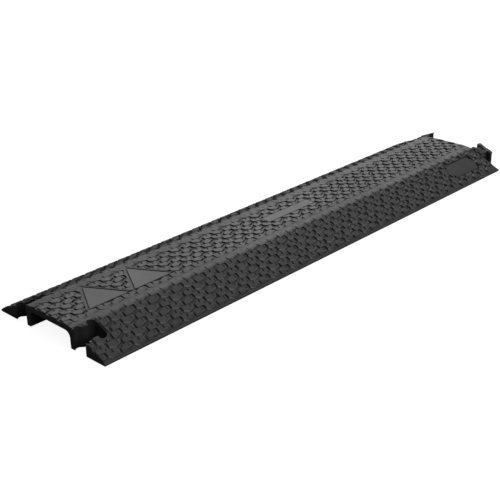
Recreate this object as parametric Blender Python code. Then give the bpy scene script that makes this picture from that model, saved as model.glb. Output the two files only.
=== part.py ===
"""A drop-over floor cord cover: one moulded length of black rubber that is laid over cords on a floor.

It has a flat deck between two ramps, one open channel along its underside, and connectors that
lock it to the next cover: a pair of sockets in the -X end and a pair of tabs on the +X end.
The pair isn't symmetric: the one on the +Y side reaches less far towards the deck.
Its relief is the bare raised panels and the main tread lugs. Of the close rows of lugs on the deck
and the ramps, every other row is in the solid, and in it every other lug, each at its real place.
Metres, +Z up, +X along the cover. The origin is on the floor, at the middle of the cover's box.
"""

import math

import bmesh
import bpy
from mathutils import Matrix, Vector

# Cross section
WIDTH = 0.242
DECK_WIDTH = 0.102
HEIGHT = 0.0345
TOE_THICKNESS = 0.003
TOE_RADIUS = 0.0012
CREST_RADIUS = 0.025
CHANNEL_WIDTH = 0.093
CHANNEL_HEIGHT = 0.026
CHANNEL_CORNER_RADIUS = 0.010
FOOT_RADIUS = 0.0012

# Length
BODY_LENGTH = 1.000
TAB_REACH = 0.0370

# Connectors, from above: distances out from the end face, and half sizes across their own centre lines
CONNECTOR_OFFSET = 0.0680
CONNECTOR_CLEARANCE = 0.0011
ROOT_HALF = 0.0114
BEAD_HALF = 0.0145
BEAD_START = 0.0045
BEAD_END = 0.0090
BEAD_RADIUS = 0.0035
NECK_HALF = 0.0092
NECK_START = 0.0150
NECK_RADIUS = 0.0045
HEAD_START = 0.0255
HEAD_HALF = 0.0163
SHORT_HEAD_HALF = 0.0117
HEAD_INNER_RADIUS = 0.0012
HEAD_NEAR_RADIUS = 0.0028
HEAD_FAR_RADIUS = 0.0060

# Tread lugs: a lug has a cut corner at its left end and its right end slants away
LUG_HEIGHT = 0.0018
LUG_LENGTH = 0.0195
LUG_WIDTH = 0.0120
LUG_FACE = 0.0077
LUG_TAPER_START = 0.0075
LUG_TIP = 0.0060
LUG_TIP_START = 0.0105
LUG_TOP_SHARE = 0.88
LUG_PITCH = 0.04665
LUG_ROW_PITCH = 0.0259

# Where the rows of lugs begin: along from the -X end face, and down across each surface
DECK_LUG_START = 0.0254
DECK_LUG_ROWS = (-0.03335, 3)
RAMP_LUG_START = 0.01205
RAMP_LUG_ROWS = (0.00775, 3)

# Bare raised panels, along from the -X end face and down across their surface
PANEL_HEIGHT = 0.0018
TRIANGLE_SIDE = 0.0728
TRIANGLE_BASE = 0.0298
TRIANGLE_STARTS = (0.0494, 0.1344)
LONG_PANEL = (0.450, 0.567, -0.010, 0.010)
RAMP_PANEL = (0.876, 0.969, 0.018, 0.052)
RAMP_PANEL_TIP = 0.011
RELIEF_SINK = 0.0005

# Places without tread, in plan from the -X end face: start, end, and the two sides
LUG_END_MARGIN = 0.001
SOCKET_ZONE = (-0.001, 0.042)
SOCKET_SIDES = (0.050, 0.086)
BARE_PLACES = (
    (*SOCKET_ZONE, SOCKET_SIDES[0], SOCKET_SIDES[1]),
    (*SOCKET_ZONE, -SOCKET_SIDES[1], -SOCKET_SIDES[0]),
    (0.046, 0.210, -0.033, 0.037),
    (0.448, 0.569, -0.012, 0.012),
    (0.874, 0.971, -0.100, -0.066),
)

ARC_STEP = math.radians(12)
CUT_MARGIN = 0.010
WELD_DISTANCE = 0.00001

SLOPE = math.atan2(HEIGHT - TOE_THICKNESS, (WIDTH - DECK_WIDTH) / 2)
X_START = -(BODY_LENGTH + TAB_REACH) / 2
X_BODY_END = X_START + BODY_LENGTH
X_TAB_END = X_BODY_END + TAB_REACH


def rounded(corners):
    """The closed outline through (x, y, radius) corners, each turned through an arc of its radius."""
    points = []
    for i, (x, y, radius) in enumerate(corners):
        corner = Vector((x, y))
        before = (Vector(corners[i - 1][:2]) - corner).normalized()
        after = (Vector(corners[(i + 1) % len(corners)][:2]) - corner).normalized()
        if radius == 0:
            points.append(corner)
            continue
        half_angle = before.angle(after) / 2
        centre = corner + (before + after).normalized() * (radius / math.sin(half_angle))
        tangent = radius / math.tan(half_angle)
        start = corner + before * tangent - centre
        turn = start.angle_signed(corner + after * tangent - centre)
        steps = max(1, math.ceil(abs(turn) / ARC_STEP))
        for k in range(steps + 1):
            arm = start.copy()
            angle = -turn * k / steps
            arm.x = start.x * math.cos(angle) - start.y * math.sin(angle)
            arm.y = start.x * math.sin(angle) + start.y * math.cos(angle)
            points.append(centre + arm)
    return points


def mirrored(corners):
    """Corners on the positive side of the second coordinate, and then their mirror images, in order."""
    return corners + [(x, -y, radius) for x, y, radius in reversed(corners)]


def profile_outline():
    """The cross section as (across, up)."""
    half = [
        (HEIGHT, DECK_WIDTH / 2, CREST_RADIUS),
        (TOE_THICKNESS, WIDTH / 2, TOE_RADIUS),
        (0, WIDTH / 2, TOE_RADIUS),
        (0, CHANNEL_WIDTH / 2, FOOT_RADIUS),
        (CHANNEL_HEIGHT, CHANNEL_WIDTH / 2, CHANNEL_CORNER_RADIUS),
    ]
    return [Vector((across, up)) for up, across in rounded(mirrored(half))]


def connector_half(head_half, grow):
    """One side of a connector's plan, from its centre line, as (out from the end face, across, radius)."""
    return [
        (0, ROOT_HALF + grow, 0),
        (BEAD_START, BEAD_HALF + grow, BEAD_RADIUS),
        (BEAD_END, BEAD_HALF + grow, BEAD_RADIUS),
        (NECK_START, NECK_HALF + grow, NECK_RADIUS),
        (HEAD_START - grow, NECK_HALF + grow, HEAD_INNER_RADIUS),
        (HEAD_START - grow, head_half + grow, HEAD_NEAR_RADIUS + grow),
        (TAB_REACH + grow, head_half + grow, HEAD_FAR_RADIUS + grow),
    ]


def connector(side, grow):
    """A whole connector's plan on one side of the cover, grown all round for a socket."""
    inner_half = SHORT_HEAD_HALF if side > 0 else HEAD_HALF
    inner = [(x, -side * y, radius) for x, y, radius in connector_half(inner_half, grow)]
    outer = [(x, side * y, radius) for x, y, radius in connector_half(HEAD_HALF, grow)]
    low, high = (inner, outer) if side > 0 else (outer, inner)
    middle = side * CONNECTOR_OFFSET
    return [(x, middle + y, radius) for x, y, radius in low + high[::-1]]


def socket_outline(side):
    """The plan of the socket that is cut into the -X end on one side, open at the end face."""
    corners = connector(side, CONNECTOR_CLEARANCE)
    mouth = [(-CUT_MARGIN, corners[i][1], 0) for i in (0, -1)]
    return [Vector((X_START + p.x, p.y)) for p in rounded([mouth[0]] + corners + [mouth[1]])]


def end_trim_outline():
    """The plan of what is cut away beyond the +X end face, so that only the two tabs are left."""
    outer = WIDTH / 2 + CUT_MARGIN
    corners = [(TAB_REACH + CUT_MARGIN, -outer, 0), (0, -outer, 0)]
    corners += connector(-1, 0) + connector(1, 0)
    corners += [(0, outer, 0), (TAB_REACH + CUT_MARGIN, outer, 0)]
    return [Vector((X_BODY_END + p.x, p.y)) for p in rounded(corners)]


def extruded(name, outline, thickness, collection):
    """A mesh object made from a flat filled outline, extruded to both sides of its plane."""
    curve = bpy.data.curves.new(name, "CURVE")
    curve.dimensions = "2D"
    curve.fill_mode = "BOTH"
    curve.extrude = thickness / 2
    spline = curve.splines.new("POLY")
    spline.points.add(len(outline) - 1)
    for point, place in zip(spline.points, outline):
        point.co = (place.x, place.y, 0, 1)
    spline.use_cyclic_u = True
    flat = bpy.data.objects.new(name + "_outline", curve)
    collection.objects.link(flat)
    bpy.context.view_layer.update()

    graph = bpy.context.evaluated_depsgraph_get()
    mesh = bpy.data.meshes.new_from_object(flat.evaluated_get(graph))
    mesh.name = name
    bpy.data.objects.remove(flat)
    bpy.data.curves.remove(curve)

    shape = bmesh.new()
    shape.from_mesh(mesh)
    bmesh.ops.remove_doubles(shape, verts=shape.verts, dist=WELD_DISTANCE)
    bmesh.ops.recalc_face_normals(shape, faces=shape.faces)
    shape.to_mesh(mesh)
    shape.free()
    made = bpy.data.objects.new(name, mesh)
    collection.objects.link(made)
    return made


def flipped(outline):
    """A lug's outline mirrored across its row."""
    return [(along, LUG_WIDTH - down) for along, down in reversed(outline)]


def lug_outline(left_flipped, right_flipped):
    """A lug's outline as (along, down the surface), with either end flipped across the row."""
    left = [(LUG_TAPER_START, LUG_WIDTH), (0, LUG_FACE), (0, 0)]
    right = [(LUG_LENGTH, 0), (LUG_LENGTH, LUG_TIP), (LUG_TIP_START, LUG_WIDTH)]
    return (flipped(left) if left_flipped else left) + (flipped(right) if right_flipped else right)


def block(outline, height, place, top_share=1):
    """A low block on an outline of (along, down the surface), sunk a little into its surface."""
    shape = bmesh.new()
    base = shape.faces.new([shape.verts.new((along, down, -RELIEF_SINK)) for along, down in outline])
    middle = Matrix.Translation(-base.calc_center_median())
    grown = bmesh.ops.extrude_face_region(shape, geom=[base])["geom"]
    top = [item for item in grown if isinstance(item, bmesh.types.BMVert)]
    bmesh.ops.translate(shape, verts=top, vec=(0, 0, height + RELIEF_SINK))
    bmesh.ops.scale(shape, verts=top, vec=(top_share, top_share, 1), space=middle)
    bmesh.ops.transform(shape, matrix=place, verts=shape.verts)
    return shape


def surface_frame(side):
    """Turns (along, down, up) on the deck, side 0, or on a ramp, side 1 or -1, into world places."""
    if side == 0:
        down, up = Vector((0, -1, 0)), Vector((0, 0, 1))
    else:
        down = Vector((0, side * math.cos(SLOPE), -math.sin(SLOPE)))
        up = Vector((0, side * math.sin(SLOPE), math.cos(SLOPE)))
    turn = Matrix((Vector((1, 0, 0)), down, up)).transposed().to_4x4()
    return Matrix.Translation((X_START, side * DECK_WIDTH / 2, HEIGHT)) @ turn


def has_room(places):
    """True where a lug with corners at these places lies on the body, clear of the bare places."""
    start, end = (pick(p.x for p in places) - X_START for pick in (min, max))
    low, high = (pick(p.y for p in places) for pick in (min, max))
    if start < LUG_END_MARGIN or end > BODY_LENGTH - LUG_END_MARGIN:
        return False
    return not any(
        start < bare_end and end > bare_start and low < bare_high and high > bare_low
        for bare_start, bare_end, bare_low, bare_high in BARE_PLACES)


def lugs():
    """The main lugs of the deck and both ramps.

    Each row lies half a pitch from the one before it, with its lugs flipped across the row. On the
    ramps a lug's two ends are cut on opposite sides, and on the deck on the same side.
    """
    for side in (0, 1, -1):
        start = DECK_LUG_START if side == 0 else RAMP_LUG_START
        first_row, rows = DECK_LUG_ROWS if side == 0 else RAMP_LUG_ROWS
        for row in range(rows):
            odd = bool(row % 2)
            outline = lug_outline(odd, odd if side == 0 else not odd)
            for column in range(math.ceil(BODY_LENGTH / LUG_PITCH) + 1):
                along = start + (column - odd / 2) * LUG_PITCH
                place = surface_frame(side) @ Matrix.Translation((along, first_row + row * LUG_ROW_PITCH, 0))
                shape = block(outline, LUG_HEIGHT, place, LUG_TOP_SHARE)
                if has_room([vert.co for vert in shape.verts]):
                    yield shape
                else:
                    shape.free()


def panels():
    """Two triangles and a long panel on the deck, and a six-sided panel on the -Y ramp."""
    for start in TRIANGLE_STARTS:
        end = start + TRIANGLE_SIDE
        apex = ((start + end) / 2, TRIANGLE_BASE - TRIANGLE_SIDE * math.sin(math.pi / 3))
        yield block([(start, TRIANGLE_BASE), (end, TRIANGLE_BASE), apex], PANEL_HEIGHT, surface_frame(0))
    start, end, low, high = LONG_PANEL
    yield block([(start, low), (end, low), (end, high), (start, high)], PANEL_HEIGHT, surface_frame(0))
    start, end, low, high = RAMP_PANEL
    middle = (low + high) / 2
    near, far = start + RAMP_PANEL_TIP, end - RAMP_PANEL_TIP
    outline = [(start, middle), (near, low), (far, low), (end, middle), (far, high), (near, high)]
    yield block(outline, PANEL_HEIGHT, surface_frame(-1))


def relief(collection):
    """The lugs and the panels, as one mesh that is joined to the cover."""
    whole = bmesh.new()
    mesh = bpy.data.meshes.new("relief")
    for shape in (*lugs(), *panels()):
        shape.to_mesh(mesh)
        whole.from_mesh(mesh)
        shape.free()
    bmesh.ops.recalc_face_normals(whole, faces=whole.faces)
    whole.to_mesh(mesh)
    whole.free()
    made = bpy.data.objects.new("relief", mesh)
    collection.objects.link(made)
    made.hide_render = True
    made.display_type = "WIRE"
    return made


def cutter(name, outline, collection):
    """A prism that stands through the whole height of the cover and is cut from it."""
    made = extruded(name, outline, HEIGHT + 2 * CUT_MARGIN, collection)
    made.location.z = HEIGHT / 2
    made.hide_render = True
    made.display_type = "WIRE"
    return made


def combine(target, tool, operation="DIFFERENCE"):
    """Takes the tool's shape out of the target, or joins it to the target with UNION."""
    modifier = target.modifiers.new(tool.name, "BOOLEAN")
    modifier.operation = operation
    modifier.solver = "EXACT"
    modifier.object = tool


def black_rubber():
    """The moulded rubber, as a plain satin black."""
    material = bpy.data.materials.new("black_rubber")
    material.use_nodes = True
    shader = material.node_tree.nodes["Principled BSDF"]
    shader.inputs["Base Color"].default_value = (0.030, 0.030, 0.031, 1)
    shader.inputs["Roughness"].default_value = 0.55
    shader.inputs["Metallic"].default_value = 0
    return material


def new_collection(name):
    made = bpy.data.collections.new(name)
    bpy.context.scene.collection.children.link(made)
    return made


def main():
    for old in list(bpy.data.objects):
        bpy.data.objects.remove(old)
    parts = new_collection("floor_cord_cover")
    cutters = new_collection("cutters")

    cover = extruded("cord_cover", profile_outline(), X_TAB_END - X_START, parts)
    cover.rotation_euler = (math.pi / 2, 0, math.pi / 2)
    combine(cover, cutter("end_trim", end_trim_outline(), cutters))
    for side, name in ((-1, "socket_right"), (1, "socket_left")):
        combine(cover, cutter(name, socket_outline(side), cutters))
    combine(cover, relief(cutters), "UNION")
    cover.data.materials.append(black_rubber())


main()
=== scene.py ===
"""The looks of a moulded rubber floor cord cover: rounded body, tread lugs, blank panels and finish."""

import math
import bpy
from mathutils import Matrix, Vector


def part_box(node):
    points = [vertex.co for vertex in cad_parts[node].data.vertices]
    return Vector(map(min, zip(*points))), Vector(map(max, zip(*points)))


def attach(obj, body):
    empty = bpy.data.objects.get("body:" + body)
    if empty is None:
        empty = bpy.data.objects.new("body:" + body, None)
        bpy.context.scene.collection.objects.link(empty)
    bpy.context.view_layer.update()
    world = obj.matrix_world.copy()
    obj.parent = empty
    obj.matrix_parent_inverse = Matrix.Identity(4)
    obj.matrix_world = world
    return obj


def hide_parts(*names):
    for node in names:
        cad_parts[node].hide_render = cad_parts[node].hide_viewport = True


bl_info = {
    "name": "Floor cord cover",
    "version": (1, 0, 0),
    "blender": (4, 5, 0),
    "location": "3D View > Sidebar > Cord cover",
    "description": "Dresses a drop-over floor cord cover with its tread, its blank panels and its rubber",
    "category": "Add Mesh",
}

import bmesh
import bpy
from bpy.props import FloatProperty, FloatVectorProperty, PointerProperty
from mathutils import Matrix, Vector

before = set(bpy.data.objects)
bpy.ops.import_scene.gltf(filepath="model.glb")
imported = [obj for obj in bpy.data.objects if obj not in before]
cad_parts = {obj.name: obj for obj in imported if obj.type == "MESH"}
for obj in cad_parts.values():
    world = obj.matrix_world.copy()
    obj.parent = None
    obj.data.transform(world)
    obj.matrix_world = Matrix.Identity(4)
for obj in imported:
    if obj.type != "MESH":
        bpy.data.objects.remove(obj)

NODE = "cord_cover"
BODY = "root"
LOW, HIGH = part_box(NODE)
LENGTH = HIGH.x - LOW.x

# The surfaces that carry relief, as the sign of their side of the middle line
DECK = 0
RIGHT_RAMP = -1
LEFT_RAMP = 1

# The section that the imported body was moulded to
DECK_HALF = 0.051
DECK_HEIGHT = 0.0345
TOE_THICKNESS = 0.003
CREST_RADIUS = 0.025
BODY_LENGTH = 1.000
SLOPE = math.atan2(DECK_HEIGHT - TOE_THICKNESS, HIGH.y - DECK_HALF)
CREST_START = DECK_HALF - CREST_RADIUS * math.tan(SLOPE / 2)
CREST_END = CREST_START + CREST_RADIUS * math.sin(SLOPE)

# How the body's mesh is cleaned and rounded
MERGE_DISTANCE = 1e-5
FLAT_ANGLE = math.radians(0.5)
SHARP_ANGLE = math.radians(35)
EDGE_SEGMENTS = 2
SMOOTH_ANGLE = math.radians(9)

# The sockets, which the tread keeps clear of: start and end from the near end face, then the inner
# and outer distance from the middle line. The bead and the neck are open to the end.
BEYOND_END = -0.01
SOCKET_BEAD = (BEYOND_END, 0.0115, 0.0520, 0.0840)
SOCKET_NECK = (BEYOND_END, 0.0260, 0.0570, 0.0790)
SOCKET_HEAD = (0.0240, 0.0395, 0.0500, 0.0860)
SHORT_SOCKET_HEAD = (0.0240, 0.0395, 0.0548, 0.0860)

# The tabs, which carry tread too: the neck's length, then its inner and outer distance, and the head
# as for a socket, from the far end face. A lug belongs to the neck up to a share of its length.
TAB_NECK = (0.0256, 0.0595, 0.0765)
TAB_NECK_SHARE = 0.7
TAB_HEAD = (0.0262, 0.0362, 0.0525, 0.0835)
SHORT_TAB_HEAD = (0.0262, 0.0362, 0.0570, 0.0835)

# The tread's cell: two rows, and in each row two lugs half a pitch apart. A lug's outline is measured
# along from its steep left wall, and down from its upper long side.
LUG_PITCH = 0.04665
LUG_STEP = LUG_PITCH / 2
ROW_PITCH = 0.01295
ROW_SHIFT = -0.0119
LUG_LENGTH = 0.0212
LUG_WIDTH = 0.0129
LUG_FACE = 0.0094
LUG_TAPER = 0.0066
LUG_SINK = 0.0004
CUT_START = 0.0098
CUT_END = 0.0085
SLOT_START = 0.0094
SLOT_END = 0.0128
SLOT_DEPTH = 0.0055
SLOT_SLANT = 0.0008

# How a lug's top falls to the right, by a share of its height and more steeply near its end, and how
# far the facet over its cut corner faces upwards, where its left is high or low
LUG_FALL = 0.50
LUG_END_START = 0.0185
LUG_END_SLOPE = 0.30
FACET_RISE = {False: 1.2, True: 1.4}

# The nub on a lug's falling end, and the ridge along its long cut. Heights are shares of the lug's.
NUB_START = 0.0163
NUB_END = 0.0205
NUB_SIDES = {False: (0.0012, 0.0059), True: (0.0068, 0.0112)}
NUB_SLANT = 0.0008
NUB_HEIGHTS = (0.95, 0.35)
RIDGE_FOOT = ((0.0100, 0.0095), (0.0172, 0.0064))
RIDGE_EDGE = ((0.0108, 0.0122), (0.0180, 0.0092))
RIDGE_HEIGHTS = (0.45, 0.90)

# Where the tread's rows lie, from the near end face and down across each surface. The limits are
# where the tread has faded away, and the slope that it fades with.
DECK_PHASE = 0.0254
DECK_FIRST_ROW = -0.05925
DECK_ROWS = 8
DECK_LIMITS = ((-0.0455, 0.14), (0.0452, 0.14))
RAMP_PHASE = 0.02385
RAMP_FIRST_ROW = -0.0047
RAMP_ROWS = 6
RAMP_LIMITS = ((-0.0020, 0.16), (0.0745, 0.30))

# How lugs are trimmed: spare lugs at each end of a row, the gaps that they keep, a distance that is
# beyond every edge, the narrowest piece that is kept, and how far apart the cuts over a crest are
SPARE_STEPS = 2
END_MARGIN = 0.0008
PANEL_MARGIN = 0.0012
RIM_MARGIN = 0.0008
PIN_MARGIN = 0.0003
ANYWHERE = 1
MIN_LUG = 0.0012
CREST_SPLIT = 0.0018
CUT_TOLERANCE = 1e-6

# Blank panels, from the near end face. The rims run beside a triangle's two sloping sides, and their
# height, as the ramp panel's, is a share of the deck panels'.
TRIANGLE_SIDE = 0.0728
TRIANGLE_CORNER = math.radians(60)
TRIANGLE_BASE = -0.0298
TRIANGLE_STARTS = (0.0494, 0.1344)
TRIANGLE_GROOVE = 0.0030
SLOPING_SIDES = ((1, 2), (2, 0))
RIM_WIDTH = 0.0020
RIM_HEIGHT = 0.9
RIM_BEVEL = 0.0003
BAR_PANEL = (0.450, 0.567, -0.0100, 0.0100)
RAMP_PANEL = (0.876, 0.969, 0.0180, 0.0520)
RAMP_PANEL_TIP = 0.0110
RAMP_PANEL_HEIGHT = 0.45
RAMP_PANEL_BEVEL = 0.0007

# Four blind pin holes round the ramp's panel: from the near end face, and down the slope
PIN_ALONG = (0.8836, 0.9652)
PIN_DOWN = (0.0233, 0.0480)
PIN_RADIUS = 0.0024
PIN_DEPTH = 0.0045
PIN_SIDES = 16

# The rubber's finish: its fine grain, the faint clouds of bloom, how far a face points upwards for the
# least and for the full reflection (a painted shade that dims sideways faces), and how much the roughness
# changes with the bloom
GRAIN_SCALE = 1400
GRAIN_DETAIL = 3
GRAIN_ROUGHNESS = 0.6
GRAIN_STRENGTH = 0.5
CLOUD_SCALE = 9
CLOUD_DETAIL = 5
CLOUD_ROUGHNESS = 0.62
CLOUD_RANGE = (0.35, 0.70)
PAINTED_SHADE_FACING = (0.15, 0.50)
PAINTED_SHADE_SHINE_RANGE = (0.10, 0.50)
ROUGHNESS_CHANGE = (-0.03, 0.05)

# Each rubber's roughness, depth of grain and share of bloom
RUBBERS = {
    "body_rubber": (0.50, 0.00006, 0.6),
    "lug_rubber": (0.46, 0.00004, 0.4),
    "panel_rubber": (0.44, 0.00003, 0.5),
}

# The camera, as it stood for the photograph
CAMERA_AZIMUTH = math.radians(-46.28)
CAMERA_ELEVATION = math.radians(24.63)
CAMERA_ROLL = math.radians(-1.0)
CAMERA_DISTANCE = 1.6713
CAMERA_AIM = Vector((LOW.x + 0.3708, -0.0385, 0.02))
CAMERA_LENS = 74.28
CAMERA_SENSOR = 36.0
CAMERA_NEAR = 0.01

# Soft studio light: name, direction towards it, strength, and how wide it looks in degrees
SOFT_LIGHTS = (
    ("back", (0.66, 0.54, 0.52), 0.86, 44),
    ("front", (0.03, -0.90, 0.43), 1.5, 40),
    ("right", (0.66, -0.56, 0.50), 0.3, 60),
    ("left", (-0.60, 0.10, 0.79), 0.4, 50),
)

# The floor: half its width, its finish, how much it glows to the camera, and the stretch below the
# right ramp that stays dark, a painted shadow
FLOOR_HALF = 12
FLOOR_ROUGHNESS = 0.9
FLOOR_GLOW = 0.90
FLOOR_PAINTED_SHADOW = ((LOW.x + 0.020, HIGH.x - 0.040), (LOW.y + 0.004, -DECK_HALF))

# The sky's strength along X and upwards: from and to, and the strength at each
SKY_ACROSS = ((-0.5, 0.3), (0.1, 1.0))
SKY_UP = ((0.0, 0.6), (0.22, 0.24))


class CoverSizes(bpy.types.PropertyGroup):
    """Heights and roundings of the relief on the cover."""

    edge_round: FloatProperty(
        name="Edge rounding", description="Rounding of the body's moulded edges",
        default=0.0007, min=0.0001, unit="LENGTH")
    lug_height: FloatProperty(
        name="Lug height", description="How far the tread stands above the surface",
        default=0.0020, min=0.0002, unit="LENGTH")
    lug_bevel: FloatProperty(
        name="Lug bevel", description="Width of the sloping edge on top of a lug's left wall",
        default=0.0005, min=0.0001, unit="LENGTH")
    lug_facet: FloatProperty(
        name="Lug facet", description="Height of the sloping facet over a lug's cut corner",
        default=0.0019, min=0.0001, unit="LENGTH")
    lug_side: FloatProperty(
        name="Lug side", description="Height of the sloping facet along a lug's lower long side",
        default=0.0004, min=0.0001, unit="LENGTH")
    panel_height: FloatProperty(
        name="Panel height", description="How far the blank panels stand above the deck",
        default=0.0018, min=0.0002, unit="LENGTH")
    panel_bevel: FloatProperty(
        name="Panel bevel", description="Width of the sloping edge round a panel of the deck",
        default=0.0005, min=0.0001, unit="LENGTH")


class CoverColours(bpy.types.PropertyGroup):
    """Colours of the rubber and the floor."""

    rubber: FloatVectorProperty(
        name="Rubber", description="Colour of the clean moulded rubber",
        default=(0.014, 0.014, 0.0145), subtype="COLOR", size=3, min=0, max=1)
    bloom: FloatVectorProperty(
        name="Bloom", description="Colour of the faint grey bloom on the rubber",
        default=(0.026, 0.026, 0.027), subtype="COLOR", size=3, min=0, max=1)
    floor: FloatVectorProperty(
        name="Floor", description="Colour of the studio floor",
        default=(0.30, 0.30, 0.30), subtype="COLOR", size=3, min=0, max=1)


def sizes():
    return bpy.context.scene.cover_sizes


def colours():
    return bpy.context.scene.cover_colours


def surface(across):
    """Height of the cover's top and the tilt of its surface, at a distance across from the middle line."""
    side = abs(across)
    if side <= CREST_START:
        return DECK_HEIGHT, 0.0
    if side < CREST_END:
        tilt = math.asin((side - CREST_START) / CREST_RADIUS)
        return DECK_HEIGHT - CREST_RADIUS * (1 - math.cos(tilt)), tilt
    return DECK_HEIGHT - (side - DECK_HALF) * math.tan(SLOPE), SLOPE


def down_slope(side):
    """Distance down the ramp of a point at this distance from the middle line."""
    return (side - DECK_HALF) / math.cos(SLOPE)


def laid(point, side):
    """A point of the flat relief (along, down across, up), laid on the deck or on one ramp.

    The deck is measured towards -Y from the middle line. The ramps are measured down their slope
    from the sharp crest.
    """
    along, down, up = point
    across = -down if side == DECK else side * (DECK_HALF + down * math.cos(SLOPE))
    height, tilt = surface(across)
    outward = math.copysign(1, across)
    y = across + outward * up * math.sin(tilt)
    return Vector((LOW.x + along, y, height + up * math.cos(tilt)))


def turn_out(shape):
    """Points every face outwards, after a shape was made or laid on the surface."""
    shape.normal_update()
    bmesh.ops.recalc_face_normals(shape, faces=shape.faces)


def joined(shapes):
    """All the shapes as one bmesh. The shapes themselves are freed."""
    whole = bmesh.new()
    carrier = bpy.data.meshes.new("carrier")
    for shape in shapes:
        shape.to_mesh(carrier)
        whole.from_mesh(carrier)
        shape.free()
    bpy.data.meshes.remove(carrier)
    return whole


def lay(shape, side):
    """Lays a flat shape on the deck or on one ramp."""
    for vert in shape.verts:
        vert.co = laid(vert.co, side)
    turn_out(shape)


def middle_of(points):
    """The mean of some points of the flat relief, seen from above."""
    return sum(points, Vector((0, 0))) / len(points)


def away_from(middle, start, end):
    """The direction square to an edge and away from a middle point."""
    along = (end - start).normalized()
    outward = Vector((along.y, -along.x))
    if outward.dot(middle - start) > 0:
        outward.negate()
    return outward


def raised(outline, height, bevel=0):
    """A closed flat-topped shape on an outline, sunk a little, with a sloping edge round its top."""
    shape = bmesh.new()
    base = shape.faces.new([shape.verts.new((u, v, -LUG_SINK)) for u, v in outline])
    grown = bmesh.ops.extrude_face_region(shape, geom=[base])["geom"]
    top = [face for face in grown if isinstance(face, bmesh.types.BMFace)]
    lift = Vector((0, 0, height - bevel + LUG_SINK))
    bmesh.ops.translate(shape, vec=lift, verts=top[0].verts)
    if bevel:
        bmesh.ops.inset_region(shape, faces=top, thickness=bevel, use_even_offset=True)
        bmesh.ops.translate(shape, vec=Vector((0, 0, bevel)), verts=top[0].verts)
    turn_out(shape)
    return shape


def lug_outline(left_low, right_low):
    """A lug's outline (along, down).

    On the left one corner is cut off, above where the lug's left is low and below otherwise. On the
    right there is a slot above where its right is low, and a long cut below otherwise.
    """
    if left_low:
        left = [(0, LUG_WIDTH), (0, LUG_WIDTH - LUG_FACE), (LUG_TAPER, 0)]
    else:
        left = [(LUG_TAPER, LUG_WIDTH), (0, LUG_FACE), (0, 0)]
    if right_low:
        slot = [(SLOT_START, 0), (SLOT_START - SLOT_SLANT, SLOT_DEPTH)]
        slot += [(SLOT_END - SLOT_SLANT, SLOT_DEPTH), (SLOT_END, 0)]
        return left + slot + [(LUG_LENGTH, 0), (LUG_LENGTH, LUG_WIDTH)]
    return left + [(LUG_LENGTH, 0), (LUG_LENGTH, CUT_END), (CUT_START, LUG_WIDTH)]


def ridge(height):
    """The ridge along a lug's long cut: it rises across to the cut and ends in a steep wall."""
    foot = [Vector(corner) for corner in RIDGE_FOOT]
    edge = [Vector(corner) for corner in RIDGE_EDGE]
    shape = raised([foot[0][:], foot[1][:], edge[1][:], edge[0][:]], height)
    along = (edge[1] - edge[0]).normalized()
    across = Vector((-along.y, along.x))
    width = across.dot(edge[0] - foot[0])
    low, high = RIDGE_HEIGHTS
    for vert in shape.verts:
        if vert.co.z > 0:
            share = across.dot(vert.co.xy - foot[0]) / width
            vert.co.z = height * (low + (high - low) * min(max(share, 0), 1))
    return shape


def nub(height, right_low):
    """The small wedge on a lug's falling end: steep on the left, it falls away to the right."""
    top, bottom = NUB_SIDES[right_low]
    outline = [(NUB_START + NUB_SLANT, top), (NUB_END, top), (NUB_END, bottom), (NUB_START, bottom)]
    shape = raised(outline, height)
    high, low = NUB_HEIGHTS
    for vert in shape.verts:
        if vert.co.z > 0:
            vert.co.z = height * (low if vert.co.x == max(v.co.x for v in shape.verts) else high)
    return shape


def lug(height, left_low, right_low):
    """One lug's main shape, with its falling top and its sloping facets."""
    shape = raised(lug_outline(left_low, right_low), height)
    corner = LUG_WIDTH - LUG_FACE if left_low else LUG_FACE
    low = 1 if left_low else -1
    outward = Vector((LUG_FACE - LUG_WIDTH, -low * LUG_TAPER, 0)).normalized()
    fall = LUG_FALL * height / LUG_LENGTH
    facet_normal = outward + Vector((0, 0, FACET_RISE[left_low]))
    cut_off(shape, (0, 0, height), (fall, 0, 1))
    cut_off(shape, (LUG_END_START, 0, height - fall * LUG_END_START), (LUG_END_SLOPE, 0, 1))
    cut_off(shape, (0, corner, height - sizes().lug_facet), facet_normal)
    cut_off(shape, (0, LUG_WIDTH, height - sizes().lug_side), (0, 1, 1))
    cut_off(shape, (0, 0, height - sizes().lug_bevel), (-1, 0, 1))
    return shape


def lug_kinds():
    """The tread's four kinds of lug, as lists of shapes, keyed by whether their left and right are low."""
    height = sizes().lug_height
    kinds = {}
    for left_low in (False, True):
        for right_low in (False, True):
            kinds[left_low, right_low] = [lug(height, left_low, right_low), nub(height, right_low)]
            if not right_low:
                kinds[left_low, right_low].append(ridge(height))
    return kinds


def cut_off(shape, point, outward):
    """Cuts away what lies beyond a plane and closes the cut. False where nothing worth keeping is left."""
    everything = shape.verts[:] + shape.edges[:] + shape.faces[:]
    bmesh.ops.bisect_plane(
        shape, geom=everything, dist=CUT_TOLERANCE, plane_co=point, plane_no=outward, clear_outer=True)
    if not shape.verts:
        return False
    rim = [edge for edge in shape.edges if edge.is_boundary]
    if rim:
        bmesh.ops.holes_fill(shape, edges=rim, sides=0)
    spans = [max(v.co[i] for v in shape.verts) - min(v.co[i] for v in shape.verts) for i in (0, 1)]
    return min(spans) > MIN_LUG


def split_over_crest(shape):
    """Splits a ramp's lug where the crest is round, so that it bends with the crest."""
    down = down_slope(CREST_END)
    while down > -down_slope(CREST_END):
        everything = shape.verts[:] + shape.edges[:] + shape.faces[:]
        bmesh.ops.bisect_plane(
            shape, geom=everything, dist=CUT_TOLERANCE, plane_co=(0, down, 0), plane_no=(0, 1, 0))
        down -= CREST_SPLIT


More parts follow.
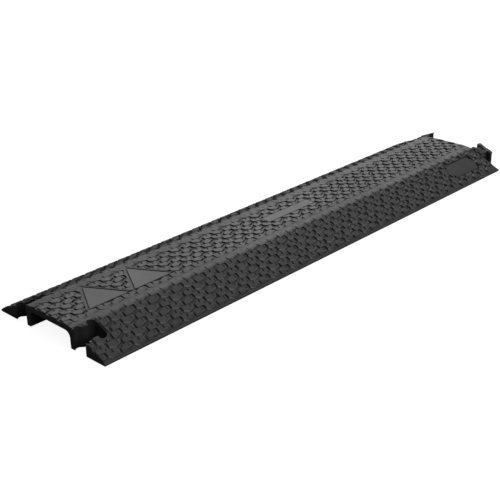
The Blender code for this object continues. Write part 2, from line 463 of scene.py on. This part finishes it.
def keep_within(shape, low, high):
    """Keeps the part of a shape between two corners of a box, seen from above."""
    for axis in (0, 1):
        for sign, limit in ((-1, low[axis]), (1, high[axis])):
            if max(sign * v.co[axis] for v in shape.verts) > sign * limit:
                outward = Vector((0, 0, 0))
                outward[axis] = sign
                point = outward * sign * limit
                if not cut_off(shape, point, outward):
                    return False
    return True


def keep_clear(shape, polygon, margins):
    """Cuts a shape back from a convex polygon (along, down), by the side that it lies furthest beyond."""
    corners = [Vector(corner) for corner in polygon]
    middle = middle_of(corners)
    places = [Vector(v.co[:2]) for v in shape.verts]
    centre = middle_of(places)
    best = None
    for i, start in enumerate(corners):
        outward = away_from(middle, start, corners[(i + 1) % len(corners)])
        edge = start + outward * margins[i]
        if min(outward.dot(place - edge) for place in places) >= 0:
            return True
        distance = outward.dot(centre - edge)
        if best is None or distance > best[0]:
            best = (distance, edge, outward)
    edge, outward = best[1:]
    return cut_off(shape, (edge.x, edge.y, 0), (-outward.x, -outward.y, 0))


def rectangle(start, end, low, high):
    """A rectangle's corners (along, down)."""
    return [(start, low), (end, low), (end, high), (start, high)]


def triangle(start):
    """A triangular panel's corners (along, down), from its base."""
    rise = TRIANGLE_SIDE * math.sin(TRIANGLE_CORNER)
    return [
        (start, -TRIANGLE_BASE),
        (start + TRIANGLE_SIDE, -TRIANGLE_BASE),
        (start + TRIANGLE_SIDE / 2, -TRIANGLE_BASE - rise),
    ]


def bar_panel():
    """The long bar's corners (along, down)."""
    start, end, low, high = BAR_PANEL
    return rectangle(start, end, -high, -low)


def ramp_panel():
    """The corners (along, down) of the ramp's six-sided panel."""
    start, end, low, high = RAMP_PANEL
    middle = (low + high) / 2
    return [
        (start, middle), (start + RAMP_PANEL_TIP, low), (end - RAMP_PANEL_TIP, low),
        (end, middle), (end - RAMP_PANEL_TIP, high), (start + RAMP_PANEL_TIP, high),
    ]


def pins():
    """The places of the ramp panel's pin holes (along, down)."""
    return [(along, down) for along in PIN_ALONG for down in PIN_DOWN]


def pin_drill():
    """One shape that cuts the pin holes."""
    whole = bmesh.new()
    for along, down in pins():
        bmesh.ops.create_cone(
            whole, cap_ends=True, segments=PIN_SIDES, radius1=PIN_RADIUS, radius2=PIN_RADIUS,
            depth=2 * PIN_DEPTH, matrix=Matrix.Translation((along, down, 0)))
    lay(whole, RIGHT_RAMP)
    return whole


def drilled(shape):
    """The shape with the pin holes cut out of it."""
    items = []
    for name, form in (("blank", shape), ("drill", pin_drill())):
        mesh = bpy.data.meshes.new(name)
        form.to_mesh(mesh)
        form.free()
        item = bpy.data.objects.new(name, mesh)
        bpy.context.scene.collection.objects.link(item)
        items.append(item)
    blank, drill = items
    cut = blank.modifiers.new("Pin holes", "BOOLEAN")
    cut.object = drill
    graph = bpy.context.evaluated_depsgraph_get()
    mesh = bpy.data.meshes.new_from_object(blank.evaluated_get(graph))
    made = bmesh.new()
    made.from_mesh(mesh)
    bpy.data.meshes.remove(mesh)
    for item in items:
        mesh = item.data
        bpy.data.objects.remove(item)
        bpy.data.meshes.remove(mesh)
    return made


def evenly(polygon, margin):
    """A polygon with the same margin for each of its sides."""
    return polygon, (margin,) * len(polygon)


def blocked_on_deck():
    """What the deck's tread keeps clear of, as (polygon, margin for each side)."""
    past_rim = TRIANGLE_GROOVE + RIM_WIDTH
    margins = (PANEL_MARGIN, past_rim + RIM_MARGIN, past_rim)
    blocked = [(triangle(start), margins) for start in TRIANGLE_STARTS]
    blocked.append(evenly(bar_panel(), PANEL_MARGIN))
    return blocked


def blocked_on_ramp(side):
    """What a ramp's tread keeps clear of: the socket, and on the right the blank panel and pin holes."""
    head = SOCKET_HEAD if side == RIGHT_RAMP else SHORT_SOCKET_HEAD
    blocked = []
    for start, end, inner, outer in (SOCKET_BEAD, SOCKET_NECK, head):
        hole = rectangle(start, end, down_slope(inner), down_slope(outer))
        blocked.append(evenly(hole, END_MARGIN))
    if side == RIGHT_RAMP:
        blocked.append(evenly(ramp_panel(), PANEL_MARGIN))
        for along, down in pins():
            square = rectangle(
                along - PIN_RADIUS, along + PIN_RADIUS, down - PIN_RADIUS, down + PIN_RADIUS)
            blocked.append(evenly(square, PIN_MARGIN))
    return blocked


def fit_to_ends(shape, side):
    """Keeps a lug on the body, or on the neck or the head of a tab beyond the body's end."""
    centre = sum(v.co.x for v in shape.verts) / len(shape.verts)
    if side == DECK or centre < BODY_LENGTH:
        return keep_within(shape, (END_MARGIN, -ANYWHERE), (BODY_LENGTH - END_MARGIN, ANYWHERE))
    head = TAB_HEAD if side == RIGHT_RAMP else SHORT_TAB_HEAD
    if centre < BODY_LENGTH + TAB_NECK_SHARE * TAB_NECK[0]:
        low = (BODY_LENGTH, down_slope(TAB_NECK[1]))
        high = (BODY_LENGTH + head[1], down_slope(TAB_NECK[2]))
    else:
        low = (BODY_LENGTH + head[0], down_slope(head[2]))
        high = (BODY_LENGTH + head[1], down_slope(head[3]))
    return keep_within(shape, low, high)


def trimmed(shape, side, limits, blocked):
    """Trims a lug to its surface, and back from what it keeps clear of. False where it is lost."""
    kept = keep_within(shape, (0, limits[0][0]), (LENGTH, limits[1][0]))
    for sign, (limit, slope) in zip((-1, 1), limits):
        kept = kept and cut_off(shape, (0, limit, 0), (0, sign * slope, 1))
    kept = kept and fit_to_ends(shape, side)
    for polygon, margins in blocked:
        kept = kept and keep_clear(shape, polygon, margins)
    return kept


def row_of_lugs(kinds, row, phase, down):
    """The untrimmed lugs of one row, from its two kinds in turn."""
    odd = row % 2
    for step in range(-SPARE_STEPS, math.ceil(LENGTH / LUG_STEP) + SPARE_STEPS):
        low = step % 2
        along = phase + odd * ROW_SHIFT + step * LUG_STEP
        for piece in kinds[bool(low), bool(low != odd)]:
            shape = piece.copy()
            bmesh.ops.translate(shape, vec=Vector((along, down, 0)), verts=shape.verts)
            yield shape


def tread(side, phase, first_row, rows, limits, blocked):
    """All the lugs of the deck or of one ramp, as one bmesh laid on the surface."""
    kinds = lug_kinds()
    kept = []
    for row in range(rows):
        for shape in row_of_lugs(kinds, row, phase, first_row + row * ROW_PITCH):
            if not trimmed(shape, side, limits, blocked):
                shape.free()
                continue
            if side != DECK and row == 0:
                split_over_crest(shape)
            kept.append(shape)
    for kind in kinds.values():
        for piece in kind:
            piece.free()
    whole = joined(kept)
    lay(whole, side)
    return whole


def finished(name, shape, material):
    """A piece made from a bmesh, riding on the body and wearing its rubber."""
    mesh = bpy.data.meshes.new(name)
    shape.to_mesh(mesh)
    shape.free()
    if not mesh.polygons:
        raise RuntimeError(name + " has no faces")
    mesh.shade_smooth()
    mesh.set_sharp_from_angle(angle=SMOOTH_ANGLE)
    piece = bpy.data.objects.new(name, mesh)
    bpy.context.scene.collection.objects.link(piece)
    mesh.materials.append(material)
    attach(piece, BODY)
    return piece


def math_node(nodes, operation):
    """A Math node for one operation, with nothing linked to it yet."""
    node = nodes.new("ShaderNodeMath")
    node.operation = operation
    return node


def mapped(tree, value, given, made=(0, 1)):
    """The output of a Map Range node that turns the given range of a value into another."""
    node = tree.nodes.new("ShaderNodeMapRange")
    for socket, number in zip(("From Min", "From Max", "To Min", "To Max"), (*given, *made)):
        node.inputs[socket].default_value = number
    tree.links.new(value, node.inputs["Value"])
    return node.outputs["Result"]


def noise(tree, place, scale, detail, roughness):
    """The output of a Noise node on the object's coordinates."""
    node = tree.nodes.new("ShaderNodeTexNoise")
    node.inputs["Detail"].default_value = detail
    node.inputs["Roughness"].default_value = roughness
    tree.links.new(place.outputs["Object"], node.inputs["Vector"])
    tree.links.new(scale, node.inputs["Scale"])
    return node.outputs["Fac"]


def grain_group():
    """Fine moulded grain for Bump, a mask of the faint cloudy bloom, and a mask of upward faces that sets
    the painted shade on sideways faces.
    """
    found = bpy.data.node_groups.get("rubber_grain")
    if found:
        return found
    group = bpy.data.node_groups.new("rubber_grain", "ShaderNodeTree")
    sockets = {"INPUT": ("Grain scale", "Cloud scale"), "OUTPUT": ("Height", "Bloom", "Painted shade facing")}
    for way, names in sockets.items():
        for name in names:
            group.interface.new_socket(name=name, in_out=way, socket_type="NodeSocketFloat")
    nodes, links = group.nodes, group.links
    ins = nodes.new("NodeGroupInput")
    outs = nodes.new("NodeGroupOutput")
    place = nodes.new("ShaderNodeTexCoord")

    grain = noise(group, place, ins.outputs["Grain scale"], GRAIN_DETAIL, GRAIN_ROUGHNESS)
    links.new(grain, outs.inputs["Height"])

    cloud = noise(group, place, ins.outputs["Cloud scale"], CLOUD_DETAIL, CLOUD_ROUGHNESS)
    links.new(mapped(group, cloud, CLOUD_RANGE), outs.inputs["Bloom"])

    # Painted shade mask: how far the face points upwards
    split = nodes.new("ShaderNodeSeparateXYZ")
    links.new(place.outputs["Normal"], split.inputs["Vector"])
    links.new(mapped(group, split.outputs["Z"], PAINTED_SHADE_FACING), outs.inputs["Painted shade facing"])
    return group


def rubber(name):
    """Satin moulded rubber, with its own roughness, depth of grain and share of bloom, and a painted shade
    that dims its sideways faces.
    """
    found = bpy.data.materials.get(name)
    if found:
        return found
    roughness, grain_depth, bloom = RUBBERS[name]
    material = bpy.data.materials.new(name)
    material.use_nodes = True
    tree = material.node_tree
    nodes, links = tree.nodes, tree.links
    shader = nodes["Principled BSDF"]
    grain = nodes.new("ShaderNodeGroup")
    grain.node_tree = grain_group()
    grain.inputs["Grain scale"].default_value = GRAIN_SCALE
    grain.inputs["Cloud scale"].default_value = CLOUD_SCALE

    share = math_node(nodes, "MULTIPLY")
    share.inputs[1].default_value = bloom
    links.new(grain.outputs["Bloom"], share.inputs[0])
    mix = nodes.new("ShaderNodeMix")
    mix.data_type = "RGBA"
    mix.inputs["A"].default_value = (*colours().rubber, 1)
    mix.inputs["B"].default_value = (*colours().bloom, 1)
    links.new(share.outputs["Value"], mix.inputs["Factor"])
    links.new(mix.outputs["Result"], shader.inputs["Base Color"])

    rough = mapped(
        tree, grain.outputs["Bloom"], (0, 1), [roughness + change for change in ROUGHNESS_CHANGE])
    links.new(rough, shader.inputs["Roughness"])
    # Painted shade: faces that point sideways get a weaker specular reflection than upward ones
    painted_shade_shine = mapped(tree, grain.outputs["Painted shade facing"], (0, 1), PAINTED_SHADE_SHINE_RANGE)
    links.new(painted_shade_shine, shader.inputs["Specular IOR Level"])

    bump = nodes.new("ShaderNodeBump")
    bump.inputs["Strength"].default_value = GRAIN_STRENGTH
    bump.inputs["Distance"].default_value = grain_depth
    links.new(grain.outputs["Height"], bump.inputs["Height"])
    links.new(bump.outputs["Normal"], shader.inputs["Normal"])
    return material


def without_relief(shape):
    """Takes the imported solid's own lugs and panels off and closes the surface below them."""
    relief = []
    for vert in shape.verts:
        height, tilt = surface(vert.co.y)
        if vert.co.z > height + LUG_SINK / math.cos(tilt) and abs(vert.co.y) < HIGH.y - LUG_SINK:
            relief.append(vert)
    bmesh.ops.delete(shape, geom=relief, context="VERTS")
    rims = [edge for edge in shape.edges if edge.is_boundary]
    bmesh.ops.holes_fill(shape, edges=rims, sides=0)


class CoverBody(bpy.types.Operator):
    """The moulded body with its edges rounded"""

    bl_idname = "cord_cover.body"
    bl_label = "Moulded body"

    def execute(self, context):
        shape = bmesh.new()
        shape.from_mesh(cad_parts[NODE].data)
        bmesh.ops.remove_doubles(shape, verts=shape.verts, dist=MERGE_DISTANCE)
        without_relief(shape)
        bmesh.ops.dissolve_limit(
            shape, angle_limit=FLAT_ANGLE, verts=shape.verts, edges=shape.edges)
        sharp = [e for e in shape.edges if e.is_manifold and e.calc_face_angle() > SHARP_ANGLE]
        bmesh.ops.bevel(
            shape, geom=sharp, offset=sizes().edge_round, offset_type="OFFSET", affect="EDGES",
            segments=EDGE_SEGMENTS, profile=0.5, material=-1, clamp_overlap=True)
        piece = finished("moulded_body", drilled(shape), rubber("body_rubber"))
        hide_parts(NODE)
        return {"FINISHED"}


class CoverTread(bpy.types.Operator):
    """The tread lugs on the deck and on both ramps"""

    bl_idname = "cord_cover.tread"
    bl_label = "Tread lugs"

    def execute(self, context):
        deck = tread(
            DECK, DECK_PHASE, DECK_FIRST_ROW, DECK_ROWS, DECK_LIMITS, blocked_on_deck())
        finished("tread_deck", deck, rubber("lug_rubber"))
        for name, side in (("tread_ramp_right", RIGHT_RAMP), ("tread_ramp_left", LEFT_RAMP)):
            ramp = tread(
                side, RAMP_PHASE, RAMP_FIRST_ROW, RAMP_ROWS, RAMP_LIMITS, blocked_on_ramp(side))
            finished(name, ramp, rubber("lug_rubber"))
        return {"FINISHED"}


class CoverPanels(bpy.types.Operator):
    """The blank panels: two triangles with their rims, a long bar, and one on the right ramp"""

    bl_idname = "cord_cover.panels"
    bl_label = "Blank panels"

    def execute(self, context):
        height = sizes().panel_height
        bevel = sizes().panel_bevel
        for name, start in zip(("triangle_panel_near", "triangle_panel_far"), TRIANGLE_STARTS):
            outline = triangle(start)
            self.place(name, [raised(outline, height, bevel)] + self.rims(outline, height), DECK)
        self.place("long_panel", [raised(bar_panel(), height, bevel)], DECK)
        low_panel = raised(ramp_panel(), RAMP_PANEL_HEIGHT * height, RAMP_PANEL_BEVEL)
        self.place("ramp_panel", [low_panel], RIGHT_RAMP, drilled)
        return {"FINISHED"}

    def rims(self, outline, height):
        """Two low strips beside a triangle's sloping sides, across the groove."""
        made = []
        corners = [Vector(corner) for corner in outline]
        middle = middle_of(corners)
        for first, second in SLOPING_SIDES:
            start, end = corners[first], corners[second]
            outward = away_from(middle, start, end)
            near = outward * TRIANGLE_GROOVE
            far = outward * (TRIANGLE_GROOVE + RIM_WIDTH)
            strip = [start + near, end + near, end + far, start + far]
            made.append(raised([corner[:] for corner in strip], RIM_HEIGHT * height, RIM_BEVEL))
        return made

    def place(self, name, shapes, side, last_cut=None):
        """One piece of panel rubber from flat shapes, laid on its surface."""
        whole = joined(shapes)
        lay(whole, side)
        if last_cut:
            whole = last_cut(whole)
        finished(name, whole, rubber("panel_rubber"))


class CoverStage(bpy.types.Operator):
    """The pale floor, the soft lights and the camera"""

    bl_idname = "cord_cover.stage"
    bl_label = "Stage, lights and camera"

    def execute(self, context):
        self.floor()
        self.sky()
        for name, towards, strength, spread in SOFT_LIGHTS:
            self.lamp(name, Vector(towards), strength, math.radians(spread))
        self.camera()
        context.scene.view_settings.view_transform = "Standard"
        return {"FINISHED"}

    def floor(self):
        mesh = bpy.data.meshes.new("studio_floor")
        shape = bmesh.new()
        bmesh.ops.create_grid(shape, x_segments=1, y_segments=1, size=FLOOR_HALF)
        shape.to_mesh(mesh)
        shape.free()
        material = bpy.data.materials.new("studio_floor")
        material.use_nodes = True
        shader = material.node_tree.nodes["Principled BSDF"]
        shader.inputs["Base Color"].default_value = (*colours().floor, 1)
        shader.inputs["Roughness"].default_value = FLOOR_ROUGHNESS
        shader.inputs["Specular IOR Level"].default_value = 0
        shader.inputs["Emission Color"].default_value = (1, 1, 1, 1)
        self.glow(material.node_tree, shader)
        mesh.materials.append(material)
        floor = bpy.data.objects.new("studio_floor", mesh)
        bpy.context.scene.collection.objects.link(floor)

    def glow(self, tree, shader):
        """Keeps the seen floor pale, and paints a shadow below the right ramp by leaving the floor dark
        there, without lighting the cover.
        """
        nodes, links = tree.nodes, tree.links
        place = nodes.new("ShaderNodeTexCoord")
        split = nodes.new("ShaderNodeSeparateXYZ")
        links.new(place.outputs["Object"], split.inputs["Vector"])
        # Painted shadow: the floor gets no glow in this stretch below the right ramp
        painted_shadow_mask = math_node(nodes, "MULTIPLY")
        for slot, (axis, (low, high)) in enumerate(zip("XY", FLOOR_PAINTED_SHADOW)):
            near = math_node(nodes, "COMPARE")
            near.inputs[1].default_value = (low + high) / 2
            near.inputs[2].default_value = (high - low) / 2
            links.new(split.outputs[axis], near.inputs[0])
            links.new(near.outputs["Value"], painted_shadow_mask.inputs[slot])
        seen = nodes.new("ShaderNodeLightPath")
        strength = math_node(nodes, "MULTIPLY")
        links.new(seen.outputs["Is Camera Ray"], strength.inputs[0])
        links.new(mapped(tree, painted_shadow_mask.outputs["Value"], (0, 1), (FLOOR_GLOW, 0)), strength.inputs[1])
        links.new(strength.outputs["Value"], shader.inputs["Emission Strength"])

    def sky(self):
        """A pale sky that darkens towards the horizon, and towards -X, where the sockets face."""
        world = bpy.data.worlds.new("studio")
        world.use_nodes = True
        tree = world.node_tree
        nodes, links = tree.nodes, tree.links
        place = nodes.new("ShaderNodeTexCoord")
        split = nodes.new("ShaderNodeSeparateXYZ")
        product = math_node(nodes, "MULTIPLY")
        links.new(place.outputs["Generated"], split.inputs["Vector"])
        for slot, (axis, (given, made)) in enumerate((("X", SKY_ACROSS), ("Z", SKY_UP))):
            links.new(mapped(tree, split.outputs[axis], given, made), product.inputs[slot])
        links.new(product.outputs["Value"], nodes["Background"].inputs["Strength"])
        nodes["Background"].inputs["Color"].default_value = (1, 1, 1, 1)
        bpy.context.scene.world = world

    def lamp(self, name, towards, strength, spread):
        """A soft light so far away that it reaches the whole floor evenly."""
        data = bpy.data.lights.new(name, "SUN")
        data.energy = strength
        data.angle = spread
        lamp = bpy.data.objects.new(name, data)
        lamp.rotation_euler = towards.to_track_quat("Z", "Y").to_euler()
        bpy.context.scene.collection.objects.link(lamp)

    def camera(self):
        """The camera, turned and rolled as for the photograph, at its distance from the aim."""
        level = math.cos(CAMERA_ELEVATION)
        forward = Vector((
            -math.sin(CAMERA_AZIMUTH) * level, math.cos(CAMERA_AZIMUTH) * level,
            -math.sin(CAMERA_ELEVATION)))
        right = forward.cross(Vector((0, 0, 1))).normalized()
        up = right.cross(forward)
        turn = Matrix.Rotation(CAMERA_ROLL, 3, forward)
        right, up = turn.inverted() @ right, turn.inverted() @ up
        data = bpy.data.cameras.new("camera")
        data.lens = CAMERA_LENS
        data.sensor_width = CAMERA_SENSOR
        data.clip_start = CAMERA_NEAR
        camera = bpy.data.objects.new("camera", data)
        turned = Matrix((right, up, -forward)).transposed()
        camera.matrix_world = Matrix.Translation(CAMERA_AIM - forward * CAMERA_DISTANCE) @ turned.to_4x4()
        bpy.context.scene.collection.objects.link(camera)
        bpy.context.scene.camera = camera


class CoverPanel(bpy.types.Panel):
    """Lists the cover's pieces and sizes in the sidebar"""

    bl_idname = "VIEW3D_PT_cord_cover"
    bl_label = "Cord cover"
    bl_space_type = "VIEW_3D"
    bl_region_type = "UI"
    bl_category = "Cord cover"

    def draw(self, context):
        layout = self.layout
        for group in (context.scene.cover_sizes, context.scene.cover_colours):
            for name in group.bl_rna.properties.keys():
                if name not in ("rna_type", "name"):
                    layout.prop(group, name)
        for operator in OPERATORS:
            layout.operator(operator.bl_idname)


OPERATORS = (CoverBody, CoverTread, CoverPanels, CoverStage)
CLASSES = (CoverSizes, CoverColours, *OPERATORS, CoverPanel)


def register():
    for each in CLASSES:
        bpy.utils.register_class(each)
    bpy.types.Scene.cover_sizes = PointerProperty(type=CoverSizes)
    bpy.types.Scene.cover_colours = PointerProperty(type=CoverColours)


def unregister():
    del bpy.types.Scene.cover_colours
    del bpy.types.Scene.cover_sizes
    for each in reversed(CLASSES):
        bpy.utils.unregister_class(each)


def main():
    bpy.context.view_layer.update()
    register()
    bpy.ops.cord_cover.stage()
    bpy.ops.cord_cover.body()
    bpy.ops.cord_cover.tread()
    bpy.ops.cord_cover.panels()


if __name__ == "__main__":
    main()
